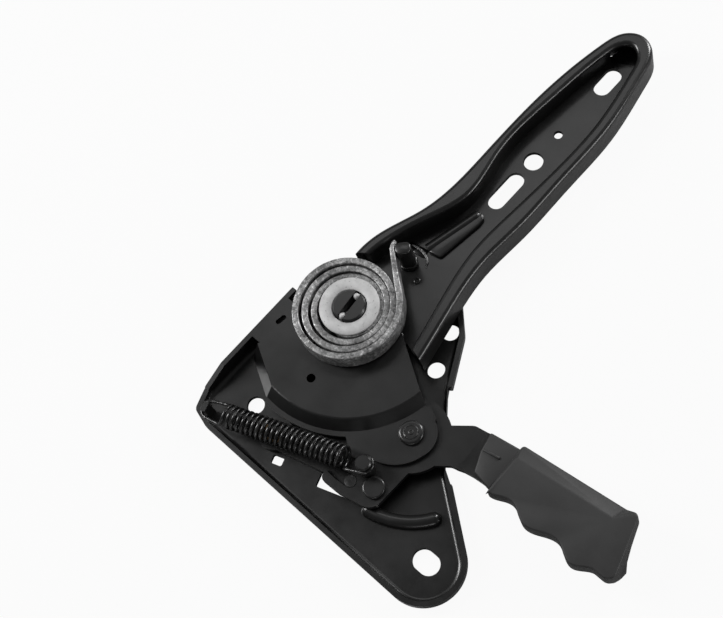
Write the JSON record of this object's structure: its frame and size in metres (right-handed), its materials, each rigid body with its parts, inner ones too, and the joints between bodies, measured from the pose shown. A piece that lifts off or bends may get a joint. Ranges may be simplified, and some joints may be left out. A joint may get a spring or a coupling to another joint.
{
  "type": "chair recline adjuster",
  "caption": "Pressed steel recline adjuster for a chair: base plate, pivoting backrest arm, spiral spring, toothed lock and hand lever.",
  "frame": {"origin": "on the main pivot axis, at the back face of the base plate", "axes": "+Z out of the base plate towards the spring, +Y along the row of holes in the backrest arm, +X towards the hand lever"},
  "size_m": [0.2178, 0.2903, 0.0308],
  "materials": {
    "black_paint": "glossy black paint",
    "bright_zinc": "bright zinc plate",
    "spring_steel": "mottled zinc on spring strip",
    "spring_wire": "dark oiled spring wire",
    "plain_steel": "hardened steel, greased",
    "bush_bronze": "sintered bush",
    "grip_plastic": "fine grained moulding"
  },
  "bodies": {
    "base": {"base_plate": "black_paint", "cover_plate": "black_paint", "main_spindle": "black_paint", "thrust_washer": "plain_steel", "spring_seat_washer": "plain_steel", "spindle_washer": "bright_zinc", "spiral_spring": "spring_steel", "stop_pin": "plain_steel", "lever_rivet": "black_paint", "lever_bush": "bush_bronze", "pawl_pin": "plain_steel"},
    "arm": {"arm_bracket": "black_paint", "sector_plate": "plain_steel", "sector_rivets": "plain_steel", "hub_bush": "bush_bronze", "spring_anchor_pin": "black_paint"},
    "lever": {"lever_plate": "black_paint", "lever_grip": "grip_plastic", "grip_pin": "plain_steel", "spring_post": "black_paint", "tail_stud": "black_paint", "return_spring": "spring_wire"},
    "pawl_lock": {"pawl": "black_paint", "pawl_bush": "bush_bronze", "follower_pin": "plain_steel"}
  },
  "joints": [
    {"name": "arm_recline", "type": "hinge", "parent": "base", "child": "arm", "pos_m": [0, 0, 0], "axis": [0, 0, 1], "range_deg": [0, 50], "stiffness_Nm_per_rad": 1.2, "deforming": ["spiral_spring"]},
    {"name": "lever_lift", "type": "hinge", "parent": "base", "child": "lever", "pos_m": [0.0614, -0.0255, 0], "axis": [0, 0, 1], "range_deg": [0, 20], "stiffness_Nm_per_rad": 1.5, "deforming": ["return_spring"]},
    {"name": "pawl_release", "type": "hinge", "parent": "base", "child": "pawl_lock", "pos_m": [0.007, -0.0675, 0], "axis": [0, 0, 1], "range_deg": [-6, 0]}
  ],
  "couplings": [
    {"joint": "pawl_release", "follows": "lever_lift", "ratio": -0.3}
  ]
}
